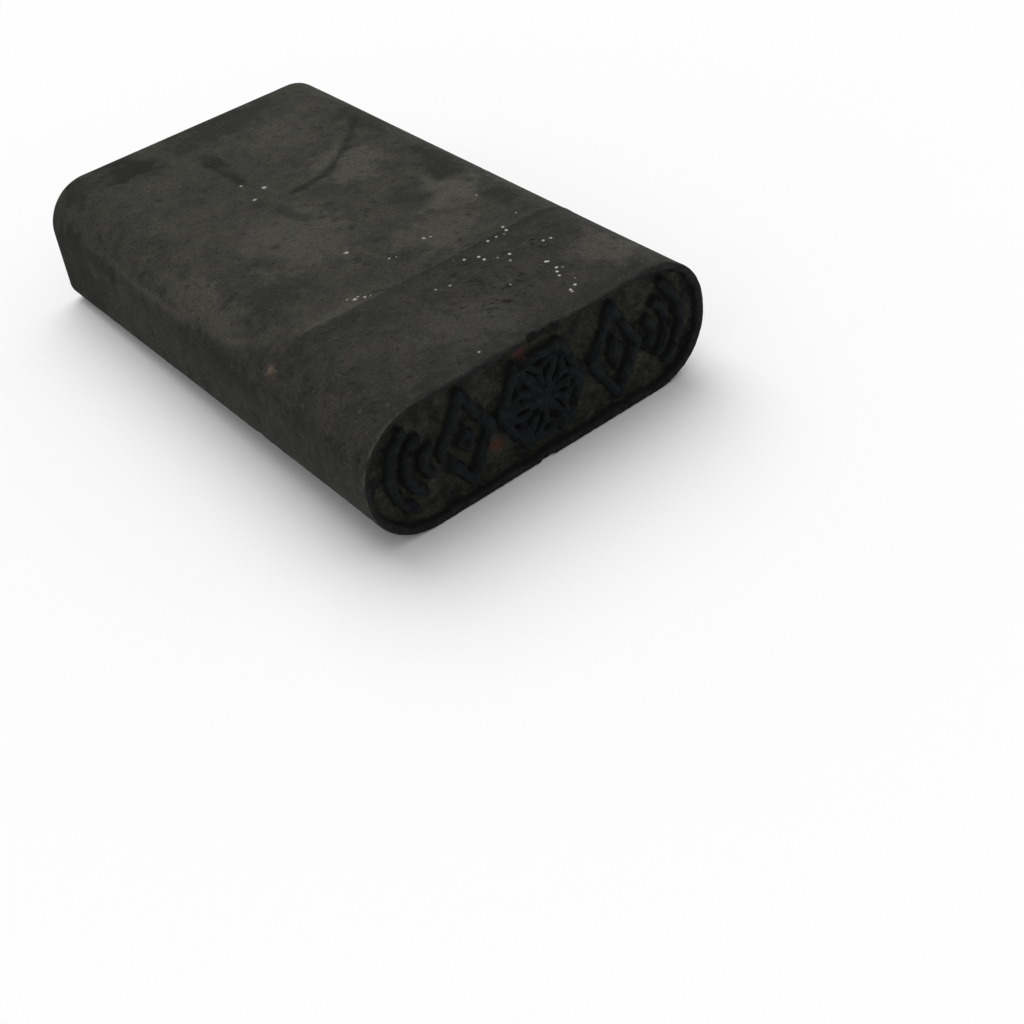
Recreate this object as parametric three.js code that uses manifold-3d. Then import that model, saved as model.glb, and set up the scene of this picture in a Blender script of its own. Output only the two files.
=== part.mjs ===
// A hand-held wooden printing stamp, lying on its flat underside.
// Millimetres, +Z up. X runs along the printing face, which looks towards -Y.
// The origin lies under the middle of the block.

import * as THREE from 'three';
import { mergeVertices } from 'three/addons/utils/BufferGeometryUtils.js';
import Module from 'manifold-3d';

const wasm = await Module();
wasm.setup();

// Block: nearly round-ended at the printing face, easing to a rounded rectangle at the rear.
const BLOCK_LENGTH = 150;
const THICKNESS = 32;
const FACE_WIDTH = 93;
const REAR_WIDTH = 86.5;
const FACE_SIDE_FLAT = 1.4;
const REAR_TOP_RADIUS = 12;
const REAR_BOTTOM_RADIUS = 5;
const REAR_ROUNDING = 3.5;
const LEAST_RADIUS = 0.5;
const CORNER_STEPS = 12;
const ROUNDING_STEPS = 6;

// Joint between the die and the handle: a glue line, and two pegs in blind holes.
const DIE_LENGTH = 38;
const GLUE_LINE = 0.3;
const PEG_DIAMETER = 8;
const PEG_CHAMFER = 1;
const PEG_SPACING = 44;
const PEG_IN_DIE = 16;
const PEG_IN_HANDLE = 22;
const PEG_CLEARANCE = 0.3;
const PEG_SIDES = 24;

// Carved face: a thin rim and the relief stand proud of the ground.
const RELIEF_DEPTH = 2.6;
const RIM_WIDTH = 1.6;
const RELIEF_ROOT = 1;
const STROKE_END_STEPS = 5;

// Hemp-leaf star in the middle of the face.
const STAR_POINTS = 6;
const STAR_RADIUS = 11.5;
const STAR_STROKE = 1.7;
const LEAF_STROKE = 1.3;

// Two lozenges, one on each side of the star, clear of its tips and of the rim.
const LOZENGE_WIDTH = 13;
const LOZENGE_STROKE = 2;
const LOZENGE_STAR_GAP = 0.65;
const LOZENGE_RIM_GAP = 2.4;
const LOZENGE_SEED_WIDTH = 4;
const LOZENGE_SEED_HEIGHT = 7;

// Three ripples in each round end, drawn about a point on the long axis and clear of the rim.
const RIPPLE_COUNT = 3;
const RIPPLE_FIRST_RADIUS = 4;
const RIPPLE_SPACING = 4.2;
const RIPPLE_STROKE = 1.8;
const RIPPLE_RIM_GAP = 4.1;
const RIPPLE_HALF_ANGLE = THREE.MathUtils.degToRad(52);
const RIPPLE_STEPS = 14;

// Worn breaks in the rim, on the two long sides.
const UPPER_BREAK_OFFSET = 1.5;
const UPPER_BREAK_WIDTH = 9;
const LOWER_BREAK_OFFSET = -2;
const LOWER_BREAK_WIDTH = 3.5;

const WOOD_HANDLE = { color: 0x46443e, roughness: 0.62, metalness: 0 };
const WOOD_DIE = { color: 0x383833, roughness: 0.58, metalness: 0 };
const WOOD_PEG = { color: 0x9a7b52, roughness: 0.7, metalness: 0 };

const { lerp } = THREE.MathUtils;

const FACE_EDGE_RADIUS = (THICKNESS - FACE_SIDE_FLAT) / 2;
const FACE_CENTRE = new THREE.Vector2(0, THICKNESS / 2);

// A closed three.js geometry as a solid that can be joined and cut.
function solid(geometry) {
  const bare = geometry.clone();
  bare.deleteAttribute('normal');
  bare.deleteAttribute('uv');
  const merged = mergeVertices(bare);
  return new wasm.Manifold(new wasm.Mesh({
    numProp: 3,
    vertProperties: new Float32Array(merged.attributes.position.array),
    triVerts: new Uint32Array(merged.index.array),
  }));
}

// The solid back as a three.js geometry.
function surface(body) {
  const mesh = body.getMesh();
  const geometry = new THREE.BufferGeometry();
  geometry.setAttribute('position', new THREE.BufferAttribute(mesh.vertProperties, 3));
  geometry.setIndex(new THREE.BufferAttribute(mesh.triVerts, 1));
  geometry.computeVertexNormals();
  return geometry;
}

// Rounded rectangle in x and z with its own radii above and below, resting on z = base.
function roundedSection(width, height, base, topRadius, bottomRadius) {
  const side = width / 2;
  const top = base + height;
  const quarter = Math.PI / 2;
  const shape = new THREE.Shape();
  shape.absarc(side - bottomRadius, base + bottomRadius, bottomRadius, -quarter, 0);
  shape.absarc(side - topRadius, top - topRadius, topRadius, 0, quarter);
  shape.absarc(topRadius - side, top - topRadius, topRadius, quarter, 2 * quarter);
  shape.absarc(bottomRadius - side, base + bottomRadius, bottomRadius, 2 * quarter, 3 * quarter);
  shape.closePath();
  return shape;
}

// Section of the block at a distance behind the face, drawn in by an inset all round.
function blockSection(back, inset) {
  const share = back / BLOCK_LENGTH;
  const corner = (rearRadius) => lerp(FACE_EDGE_RADIUS, rearRadius, share) - inset;
  return roundedSection(
    lerp(FACE_WIDTH, REAR_WIDTH, share) - 2 * inset,
    THICKNESS - 2 * inset,
    inset,
    Math.max(corner(REAR_TOP_RADIUS), LEAST_RADIUS),
    Math.max(corner(REAR_BOTTOM_RADIUS), LEAST_RADIUS),
  );
}

// Skin through sections of equal point count, each { back, inset }, closed by a flat at either end.
function loft(stations) {
  const rings = stations.map(({ back, inset }) => {
    const points = blockSection(back, inset).getPoints(CORNER_STEPS);
    points.pop();
    return points;
  });
  const count = rings[0].length;
  const last = (rings.length - 1) * count;
  const position = rings.flatMap((ring, i) => ring.flatMap((p) => [p.x, stations[i].back, p.y]));
  const index = [];
  for (let i = 0; i + 1 < rings.length; i += 1) {
    for (let j = 0; j < count; j += 1) {
      const next = (j + 1) % count;
      const [a, b] = [i * count + j, i * count + next];
      const [c, d] = [b + count, a + count];
      index.push(a, d, c, a, c, b);
    }
  }
  for (const [a, b, c] of THREE.ShapeUtils.triangulateShape(rings[0], [])) {
    index.push(a, b, c);
  }
  for (const [a, b, c] of THREE.ShapeUtils.triangulateShape(rings.at(-1), [])) {
    index.push(last + a, last + c, last + b);
  }
  const geometry = new THREE.BufferGeometry();
  geometry.setAttribute('position', new THREE.Float32BufferAttribute(position, 3));
  geometry.setIndex(index);
  return solid(geometry);
}

// A shape drawn on the face in x and z, run from one distance behind the printing plane to another.
function runBack(shape, front, back, curveSegments) {
  const depth = back - front;
  const geometry = new THREE.ExtrudeGeometry(shape, { depth, curveSegments, bevelEnabled: false });
  geometry.rotateX(Math.PI / 2);
  geometry.translate(0, back, 0);
  return solid(geometry);
}

// A raised mark of the relief: from the printing plane down into the wood under the ground.
function raised(shape, curveSegments) {
  return runBack(shape, 0, RELIEF_DEPTH + RELIEF_ROOT, curveSegments);
}

// A straight stroke of the relief between two points of the face, with round ends.
function stroke(from, to, width) {
  const heading = to.clone().sub(from).angle();
  const quarter = Math.PI / 2;
  const shape = new THREE.Shape();
  shape.absarc(to.x, to.y, width / 2, heading - quarter, heading + quarter);
  shape.absarc(from.x, from.y, width / 2, heading + quarter, heading + 3 * quarter);
  shape.closePath();
  return raised(shape, STROKE_END_STEPS);
}

function join(bodies) {
  return bodies.reduce((whole, body) => whole.add(body));
}

// Point of the face at a radius and angle about a centre.
function around(centre, radius, angle) {
  return new THREE.Vector2(Math.cos(angle), Math.sin(angle)).multiplyScalar(radius).add(centre);
}

// Hexagon of six triangles; in each, three leaf veins run from its middle to its corners.
function hempLeafStar() {
  const sector = 2 * Math.PI / STAR_POINTS;
  const strokes = [];
  for (let i = 0; i < STAR_POINTS; i += 1) {
    const tip = around(FACE_CENTRE, STAR_RADIUS, i * sector);
    const nextTip = around(FACE_CENTRE, STAR_RADIUS, (i + 1) * sector);
    const middle = FACE_CENTRE.clone().add(tip).add(nextTip).divideScalar(3);
    strokes.push(stroke(FACE_CENTRE, tip, STAR_STROKE), stroke(tip, nextTip, STAR_STROKE));
    strokes.push(stroke(middle, FACE_CENTRE, LEAF_STROKE));
    strokes.push(stroke(middle, tip, LEAF_STROKE), stroke(middle, nextTip, LEAF_STROKE));
  }
  return join(strokes);
}

function diamond(centre, width, height) {
  return [
    new THREE.Vector2(centre.x - width / 2, centre.y),
    new THREE.Vector2(centre.x, centre.y - height / 2),
    new THREE.Vector2(centre.x + width / 2, centre.y),
    new THREE.Vector2(centre.x, centre.y + height / 2),
  ];
}

// An outlined lozenge with a small solid one inside.
function lozenge(side) {
  const starTip = STAR_RADIUS + STAR_STROKE / 2;
  const offset = starTip + LOZENGE_STAR_GAP + (LOZENGE_STROKE + LOZENGE_WIDTH) / 2;
  const centre = new THREE.Vector2(side * offset, FACE_CENTRE.y);
  const height = THICKNESS - 2 * (RIM_WIDTH + LOZENGE_RIM_GAP) - LOZENGE_STROKE;
  const corners = diamond(centre, LOZENGE_WIDTH, height);
  const outline = corners.map((p, i) => stroke(p, corners[(i + 1) % corners.length], LOZENGE_STROKE));
  const seed = new THREE.Shape(diamond(centre, LOZENGE_SEED_WIDTH, LOZENGE_SEED_HEIGHT));
  return join([...outline, raised(seed, 1)]);
}

// Concentric arcs that open towards the middle of the face.
function ripples(side) {
  const reach = RIPPLE_FIRST_RADIUS + (RIPPLE_COUNT - 1) * RIPPLE_SPACING + RIPPLE_STROKE / 2;
  const offset = FACE_WIDTH / 2 - RIM_WIDTH - RIPPLE_RIM_GAP - reach;
  const centre = new THREE.Vector2(side * offset, FACE_CENTRE.y);
  const facing = side > 0 ? 0 : Math.PI;
  const arcs = [];
  for (let i = 0; i < RIPPLE_COUNT; i += 1) {
    const radius = RIPPLE_FIRST_RADIUS + i * RIPPLE_SPACING;
    const [start, end] = [facing - RIPPLE_HALF_ANGLE, facing + RIPPLE_HALF_ANGLE];
    const shape = new THREE.Shape();
    shape.absarc(centre.x, centre.y, radius + RIPPLE_STROKE / 2, start, end, false);
    shape.absarc(centre.x, centre.y, radius - RIPPLE_STROKE / 2, end, start, true);
    shape.closePath();
    arcs.push(raised(shape, RIPPLE_STEPS));
  }
  return join(arcs);
}

// A break through the rim down to the ground, on the upper (1) or lower (-1) long side.
function rimBreak(side, offset, width) {
  const geometry = new THREE.BoxGeometry(width, 2 * RELIEF_DEPTH, 2 * RIM_WIDTH);
  geometry.translate(offset, 0, FACE_CENTRE.y + side * THICKNESS / 2);
  return solid(geometry);
}

// The chamfered peg, or the hole that takes it, lying along Y through the joint.
function pegBody(side, clearance) {
  const radius = PEG_DIAMETER / 2 + clearance;
  const front = -PEG_IN_DIE - clearance;
  const rear = PEG_IN_HANDLE + clearance;
  const profile = [
    new THREE.Vector2(0, front),
    new THREE.Vector2(radius - PEG_CHAMFER, front),
    new THREE.Vector2(radius, front + PEG_CHAMFER),
    new THREE.Vector2(radius, rear - PEG_CHAMFER),
    new THREE.Vector2(radius - PEG_CHAMFER, rear),
    new THREE.Vector2(0, rear),
  ];
  const geometry = new THREE.LatheGeometry(profile, PEG_SIDES);
  geometry.translate(side * PEG_SPACING / 2, DIE_LENGTH, FACE_CENTRE.y);
  return solid(geometry);
}

const pegHoles = join([pegBody(-1, PEG_CLEARANCE), pegBody(1, PEG_CLEARANCE)]);

function dieBlock() {
  const block = loft([{ back: 0, inset: 0 }, { back: DIE_LENGTH, inset: 0 }]);
  const innerRadius = FACE_EDGE_RADIUS - RIM_WIDTH;
  const groundOutline = roundedSection(
    FACE_WIDTH - 2 * RIM_WIDTH,
    THICKNESS - 2 * RIM_WIDTH,
    RIM_WIDTH,
    innerRadius,
    innerRadius,
  );
  const ground = runBack(groundOutline, -RELIEF_DEPTH, RELIEF_DEPTH, CORNER_STEPS);
  const relief = join([hempLeafStar(), lozenge(-1), lozenge(1), ripples(-1), ripples(1)]);
  const breaks = join([
    rimBreak(1, UPPER_BREAK_OFFSET, UPPER_BREAK_WIDTH),
    rimBreak(-1, LOWER_BREAK_OFFSET, LOWER_BREAK_WIDTH),
  ]);
  return block.subtract(ground).add(relief).subtract(breaks).subtract(pegHoles);
}

function handleBlock() {
  const stations = [{ back: DIE_LENGTH + GLUE_LINE, inset: 0 }];
  for (let i = 0; i <= ROUNDING_STEPS; i += 1) {
    const angle = i / ROUNDING_STEPS * Math.PI / 2;
    stations.push({
      back: BLOCK_LENGTH - REAR_ROUNDING * (1 - Math.sin(angle)),
      inset: REAR_ROUNDING * (1 - Math.cos(angle)),
    });
  }
  return loft(stations).subtract(pegHoles);
}

function part(name, body, look) {
  const mesh = new THREE.Mesh(surface(body), new THREE.MeshStandardMaterial(look));
  mesh.name = name;
  return mesh;
}

const stamp = new THREE.Group();
stamp.position.y = -BLOCK_LENGTH / 2;
stamp.add(
  part('handle_block', handleBlock(), WOOD_HANDLE),
  part('die_block', dieBlock(), WOOD_DIE),
  part('peg_left', pegBody(-1, 0), WOOD_PEG),
  part('peg_right', pegBody(1, 0), WOOD_PEG),
);

export default stamp;
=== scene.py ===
# %% [markdown]
# # An ink-blackened wooden stamp
# The stamp is a flat block of wood that the palm holds. Its front end is a die with a carved relief, glued
# and pegged to the handle behind it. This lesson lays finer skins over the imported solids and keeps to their
# places and their box.

# %% Load the frame
import math

import bmesh
import bpy
import numpy as np
from mathutils import Matrix, Vector


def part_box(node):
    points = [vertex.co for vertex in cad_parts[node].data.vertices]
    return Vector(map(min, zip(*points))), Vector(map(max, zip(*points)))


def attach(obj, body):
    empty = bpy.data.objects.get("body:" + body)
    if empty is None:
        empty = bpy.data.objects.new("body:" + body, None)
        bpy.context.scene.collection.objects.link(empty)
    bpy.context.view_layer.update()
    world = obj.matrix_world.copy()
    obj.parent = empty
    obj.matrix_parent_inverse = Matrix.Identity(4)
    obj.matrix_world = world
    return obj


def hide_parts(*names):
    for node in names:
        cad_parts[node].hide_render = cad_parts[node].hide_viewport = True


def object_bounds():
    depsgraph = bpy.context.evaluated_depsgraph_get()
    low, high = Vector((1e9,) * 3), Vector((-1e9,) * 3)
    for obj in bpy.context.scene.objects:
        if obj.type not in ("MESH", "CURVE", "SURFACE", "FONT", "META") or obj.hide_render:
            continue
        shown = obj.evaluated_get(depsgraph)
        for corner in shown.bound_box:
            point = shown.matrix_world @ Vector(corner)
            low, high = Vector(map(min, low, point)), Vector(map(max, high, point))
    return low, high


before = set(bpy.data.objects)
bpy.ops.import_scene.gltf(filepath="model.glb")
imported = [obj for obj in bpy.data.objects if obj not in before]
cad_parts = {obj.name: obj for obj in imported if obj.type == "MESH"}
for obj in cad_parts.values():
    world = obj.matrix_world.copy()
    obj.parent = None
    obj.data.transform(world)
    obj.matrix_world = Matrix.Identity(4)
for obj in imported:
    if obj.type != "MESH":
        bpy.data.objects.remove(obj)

cad_box = [list(corner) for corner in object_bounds()]
MM = 0.001
print("solids:", sorted(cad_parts), "box in mm:", np.round(np.array(cad_box) / MM, 1).tolist())

# %% [markdown]
# ## The camera
# The photograph looks down on the block from its front left, and the camera leans a little to one side. A
# camera's rotation can be typed as three angles, but here it is aimed at a point and then leaned, because
# those two can be read off a picture.

# %% Camera
CAMERA_PLACE = Vector((-150.07, -287.1, 203.45)) * MM
CAMERA_AIM = Vector((-28.57, -98.92, 16)) * MM
CAMERA_LEAN = math.radians(-9.6)
CAMERA_LENS = 53.33
camera = bpy.data.objects.new("camera", bpy.data.cameras.new("camera"))
camera.data.lens = CAMERA_LENS
camera.data.clip_start = 1 * MM
aimed = (CAMERA_PLACE - CAMERA_AIM).to_track_quat("Z", "Y").to_matrix()
turn = aimed @ Matrix.Rotation(CAMERA_LEAN, 3, "Z")
camera.matrix_world = Matrix.Translation(CAMERA_PLACE) @ turn.to_4x4()
bpy.context.scene.collection.objects.link(camera)
bpy.context.scene.camera = camera
print("camera at", [round(v / MM) for v in camera.location], "mm with a lens of", camera.data.lens, "mm")

# %% [markdown]
# ## Colours and nodes
# Colours are written as hex values, as a paint chart gives them, and one function turns them into the
# linear light that a shader works with. A second small function adds a node with its values and links,
# which keeps each material a short list of layers.

# %% Helpers
def linear(hex_colour):
    """Linear red, green, blue and alpha of an sRGB hex colour: the sRGB curve undone in each channel."""
    channels = np.array([int(hex_colour[i:i + 2], 16) for i in (1, 3, 5)]) / 255
    light = np.where(channels <= 0.04045, channels / 12.92, ((channels + 0.055) / 1.055) ** 2.4)
    return (*light.tolist(), 1.0)


def add(tree, kind, links=None, out=0, **settings):
    """An output of a new shader node of the kind: settings are the node's properties, links gives an input
    a value or another output, and out picks the output. A node without outputs gives None."""
    made = tree.nodes.new("ShaderNode" + kind)
    for name, value in settings.items():
        setattr(made, name, value)
    for name, value in (links or {}).items():
        if isinstance(value, bpy.types.NodeSocket):
            tree.links.new(value, made.inputs[name])
        else:
            made.inputs[name].default_value = value
    return made.outputs[out] if made.outputs else None


def new_material(name):
    """An empty node material and its tree."""
    material = bpy.data.materials.new(name)
    material.use_nodes = True
    material.node_tree.nodes.clear()
    return material, material.node_tree


print("a mid grey of #808080 is", round(linear("#808080")[0], 3), "in linear light")

# %% [markdown]
# ## The floor
# A wide floor, as in a product picture on white, takes the soft shadow of the block. It is one square.

# %% Floor
FLOOR_SIZE = 6.0
FLOOR_WHITE = "#fbfbfb"
floor_mesh = bpy.data.meshes.new("floor")
floor_corners = np.array([(-1, -1, 0), (1, -1, 0), (1, 1, 0), (-1, 1, 0)]) * FLOOR_SIZE / 2
floor_mesh.from_pydata(floor_corners.tolist(), [], [(0, 1, 2, 3)])
floor = bpy.data.objects.new("floor", floor_mesh)
bpy.context.scene.collection.objects.link(floor)
# Matt white: the eye sees only the shadow on it
floor_white, tree = new_material("matt_white_floor")
surface = add(tree, "BsdfDiffuse", {"Color": linear(FLOOR_WHITE)})
add(tree, "OutputMaterial", {"Surface": surface})
floor_mesh.materials.append(floor_white)
print("floor is", FLOOR_SIZE, "m wide")

# %% [markdown]
# ## The light
# The sun lamp has a large disc, for a soft shadow, and the world fills in the rest. Together they light a
# level surface at about one, so colours render as they are written. The camera and reflections see the
# world as plain white, which hides the end of the floor, but as a light it is weaker.

# %% Light
SKY_STRENGTH = 0.55
SUN_STRENGTH = 1.75
SUN_DISC = math.radians(60)
SUN_FROM = Vector((0.25, 0.55, 1.0))
world = bpy.data.worlds.new("studio")
world.use_nodes = True
sky = world.node_tree
sky.nodes.clear()
seen = add(sky, "LightPath", out="Is Camera Ray")
rays = seen.node.outputs
for kind in ("Is Glossy Ray", "Is Transmission Ray"):
    seen = add(sky, "Math", {0: seen, 1: rays[kind]}, operation="MAXIMUM")
strength = add(sky, "MapRange", {"Value": seen, "To Min": SKY_STRENGTH, "To Max": 1.0})
backdrop = add(sky, "Background", {"Color": linear("#ffffff"), "Strength": strength})
add(sky, "OutputWorld", {"Surface": backdrop})
bpy.context.scene.world = world
sun = bpy.data.objects.new("window", bpy.data.lights.new("window", "SUN"))
sun.data.energy = SUN_STRENGTH
sun.data.angle = SUN_DISC
sun.rotation_euler = SUN_FROM.to_track_quat("Z", "Y").to_euler()
bpy.context.scene.collection.objects.link(sun)
bpy.context.scene.view_settings.view_transform = "Standard"
level_light = SKY_STRENGTH + SUN_STRENGTH * SUN_FROM.normalized().z / math.pi
print("a level surface gets", round(level_light, 2), "of full light")

# %% [markdown]
# ## The section of the block
# Sawn across anywhere, the block is a rectangle with rounded corners, almost round-ended near the face.
# Towards the rear it squares up, and its left side leans in a little. The section could be a curve with a
# bevel, but a formula lets every ring share the same columns, so the rings join into a clean grid.

# %% Section
LENGTH = 150.0
THICKNESS = 32.0
FACE_WIDTH = 93.0
REAR_WIDTH = 86.5
FACE_RADIUS = 15.3
# Corners in their order around a section: lower right, upper right, upper left, lower left
CORNER_SIDE = np.array([1, 1, -1, -1])
CORNER_IS_UPPER = np.array([False, True, True, False])
REAR_RADII = (5.0, 10.0, 12.0, 5.0)
LEFT_LEAN = 1.3
LEAN_PIVOT = 0.15


def loop_columns(arc, side, long):
    """Corner number, angle and slide of each point around a section. At every corner the angle turns a
    quarter in arc steps, and then the slide runs from 0 to 1 along the straight side to the next corner."""
    straights = [side, long, side, long]
    corner = np.repeat(np.arange(4), [arc + n for n in straights])
    quarter = np.arange(arc) / arc
    turn = np.concatenate([np.r_[quarter, np.ones(n)] for n in straights])
    slide = np.concatenate([np.r_[np.zeros(arc), np.arange(n) / n] for n in straights])
    return corner, (corner - 1 + turn) * math.pi / 2, slide


def section(columns, width, base, top, radii):
    """x and z around a rounded rectangle: a corner's centre plus its radius times (cos, sin) of the angle,
    carried in a straight line to the next corner by the slide."""
    corner, angle, slide = columns

    def on_arc(number):
        radius = np.choose(number, radii)
        x = CORNER_SIDE[number] * (width / 2 - radius) + radius * np.cos(angle)
        z = np.where(CORNER_IS_UPPER[number], top - radius, base + radius) + radius * np.sin(angle)
        return x, z

    x, z = on_arc(corner)
    next_x, next_z = on_arc((corner + 1) % 4)
    return x + slide * (next_x - x), z + slide * (next_z - z)


def block_section(columns, back, inset):
    """Section of the whole block at a distance behind the face, drawn in by an inset: width and radii
    change evenly from the face to the rear. Towards the rear the left side leans in above the pivot, a
    share of the height, and out below it."""
    share = back / LENGTH
    width = FACE_WIDTH + (REAR_WIDTH - FACE_WIDTH) * share - 2 * inset
    radii = [FACE_RADIUS + (rear - FACE_RADIUS) * share - inset for rear in REAR_RADII]
    x, z = section(columns, width, inset, THICKNESS - inset, radii)
    lean = LEFT_LEAN * share * (z / THICKNESS - LEAN_PIVOT)
    return np.where(x < 0, x * (1 - 2 * lean / width), x), z


HANDLE_COLUMNS = loop_columns(arc=40, side=16, long=104)
rear_x = block_section(HANDLE_COLUMNS, LENGTH, 0.0)[0]
print("the rear section has", rear_x.size, "points and is", round(float(np.ptp(rear_x)), 1), "mm wide")

# %% [markdown]
# ## Unevenness
# Hand-planed wood is never quite flat, and an old block has been knocked. A texture could fake that in the
# shading, but a few tenths of a millimetre in the mesh also change the outline and the way light rolls over
# the edges. The hollows only ever go inwards, so the block keeps its size.

# %% Soft noise
LATTICE = 64


def soft_noise(points, cell, seed):
    """Smooth random field from -1 to 1: seeded values on a lattice with the given cell, blended between the
    eight corners around a point with the weight 3t^2 - 2t^3 along each axis."""
    lattice = np.random.default_rng(seed).uniform(-1, 1, (LATTICE, LATTICE, LATTICE))
    place = points / cell
    low = np.floor(place).astype(int)
    part = place - low
    part = part * part * (3 - 2 * part)
    total = np.zeros(points.shape[:-1])
    for corner in np.ndindex(2, 2, 2):
        weight = np.prod(np.where(corner, part, 1 - part), axis=-1)
        x, y, z = np.moveaxis((low + corner) % LATTICE, -1, 0)
        total += weight * lattice[x, y, z]
    return total


def soft_step(low, high, value):
    """0 below low, 1 above high, and 3t^2 - 2t^3 between them."""
    t = np.clip((value - low) / (high - low), 0, 1)
    return t * t * (3 - 2 * t)


PLANE_WAVE = 0.16
PLANE_WAVE_CELL = 26.0
KNOCK_DEPTH = 0.35
KNOCK_CELL = 7.0
KNOCK_PEAKS = (0.55, 0.95)
GRAIN_DEPTH = 0.035
GRAIN_CELL = np.array([1.3, 16.0, 1.3])


def hollows(points):
    """Depth in mm below the ideal surface: slow waves left by the plane, a few knocks where a finer noise
    peaks, and shallow furrows along the grain."""
    waves = PLANE_WAVE * (1 + soft_noise(points, PLANE_WAVE_CELL, seed=11)) / 2
    knocks = KNOCK_DEPTH * soft_step(*KNOCK_PEAKS, soft_noise(points, KNOCK_CELL, seed=12))
    grain = GRAIN_DEPTH * (1 + soft_noise(points, GRAIN_CELL, seed=13)) / 2
    return waves + knocks + grain


sample = np.random.default_rng(1).uniform(0, FACE_WIDTH, (5000, 3))
print("hollows are up to", round(hollows(sample).max(), 2), "mm deep")

# %% [markdown]
# ## From rings to a mesh
# Each block is a stack of rings with the same number of points. Quads between neighbouring rings make a
# clean mesh. A point's neighbours also give its normal, along which the hollows are pressed in.

# %% Mesh
TINY = 1e-9
MERGE_DISTANCE = 0.001


def outward(grid):
    """Unit normals of a grid of points, whose columns close on themselves: the step from ring to ring
    crossed with the step around the ring."""
    around = np.roll(grid, -1, axis=1) - np.roll(grid, 1, axis=1)
    along = np.gradient(grid, axis=0)
    normal = np.cross(along, around)
    return normal / np.maximum(np.linalg.norm(normal, axis=-1, keepdims=True), TINY)


def uneven(grid, keep):
    """The grid with its hollows pressed in along the normals, apart from where keep is 0."""
    return grid - outward(grid) * (hollows(grid) * keep)[..., None]


def grid_faces(rows, columns):
    """Quads between neighbouring rings of a grid, with corners in the order that faces out."""
    here = np.arange(rows * columns).reshape(rows, columns)
    ahead = np.roll(here, -1, axis=1)
    return np.stack([here[:-1], here[1:], ahead[1:], ahead[:-1]], axis=-1).reshape(-1, 4)


def new_piece(name, points, faces):
    """A mesh object at the origin from points in mm, with its doubled points merged."""
    mesh = bpy.data.meshes.new(name)
    mesh.from_pydata((points.reshape(-1, 3) * MM).tolist(), [], faces)
    merged = bmesh.new()
    merged.from_mesh(mesh)
    bmesh.ops.remove_doubles(merged, verts=merged.verts, dist=MERGE_DISTANCE * MM)
    merged.to_mesh(mesh)
    merged.free()
    piece = bpy.data.objects.new(name, mesh)
    bpy.context.scene.collection.objects.link(piece)
    return piece


print("two rings of", rear_x.size, "points make", len(grid_faces(2, rear_x.size)), "quads")

# %% [markdown]
# ## The handle block
# The rear part of the stamp: a planed length of wood with its rear edges eased by a file. It is a skin of
# rings from the glue joint to the rear, then rings that close over the flat rear end. Its front end is one
# flat face, because nobody sees it.

# %% Handle
FACE_Y = cad_box[0][1] / MM
DIE_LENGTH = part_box("die_block")[1].y / MM - FACE_Y
SEAM = 0.04
JOINT_BACK = DIE_LENGTH + SEAM
REAR_UPPER_ROUNDING = 2.4
REAR_LOWER_ROUNDING = 1.5
HANDLE_ROW = 0.62
ROUNDING_ROWS = 9
REAR_RINGS = 26
EASED_EDGE = 0.06
CLEAR_OF_JOINT = 2.0


def handle_grid():
    """Rings of the handle: along the block at an even step, round the rear edges by a quarter turn, whose
    radius grows with the height, and over the rear end by shrinking the last ring towards its middle."""
    rear_height = block_section(HANDLE_COLUMNS, LENGTH, 0.0)[1] / THICKNESS
    rounding = REAR_LOWER_ROUNDING + (REAR_UPPER_ROUNDING - REAR_LOWER_ROUNDING) * rear_height
    share = np.arange(0, 1, HANDLE_ROW / (LENGTH - JOINT_BACK))[:, None]
    straight = JOINT_BACK + (LENGTH - rounding - JOINT_BACK) * share
    quarter = np.linspace(0, math.pi / 2, ROUNDING_ROWS)[:, None]
    back = np.concatenate([straight, LENGTH - rounding * (1 - np.sin(quarter))])
    inset = np.concatenate([np.zeros(straight.shape), rounding * (1 - np.cos(quarter))])
    inset[0] = EASED_EDGE
    x, z = block_section(HANDLE_COLUMNS, back, inset)
    rings = np.stack([x, back, z], axis=-1)
    middle = rings[-1].mean(axis=0)
    shrink = np.linspace(1, 0, REAR_RINGS + 1)[1:, None, None]
    return np.concatenate([rings, middle + (rings[-1] - middle) * shrink])


handle_rings = handle_grid()
from_joint = handle_rings[..., 1] - JOINT_BACK
handle_rings = uneven(handle_rings, soft_step(0, CLEAR_OF_JOINT, from_joint))
handle_rings[..., 1] += FACE_Y
rows, columns = handle_rings.shape[:2]
handle_faces = grid_faces(rows, columns).tolist() + [list(range(columns))]
handle = new_piece("handle_skin", handle_rings, handle_faces)
print("handle:", rows, "rings of", columns, "points")

# %% [markdown]
# ## The star of the relief
# The carver leaves the marks standing and cuts the ground away around them. A boolean of many thin prisms
# would do, but a distance does it in one step: for every point of the face the distance to the nearest mark
# says whether it is on the mark, on the sloping wall beside it, or on the ground. The first mark is a
# hemp-leaf star.

# %% Star
FACE_CENTRE = np.array([0, THICKNESS / 2])
STAR_POINTS = 6
STAR_RADIUS = 11.5
STAR_STROKE = 1.7
LEAF_STROKE = 1.3


def to_stroke(points, start, end, width):
    """Distance to a stroke with round ends: to the nearest point of its middle line, less half its
    width."""
    along = end - start
    share = np.clip((points - start) @ along / (along @ along), 0, 1)
    return np.linalg.norm(points - start - share[..., None] * along, axis=-1) - width / 2


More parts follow.
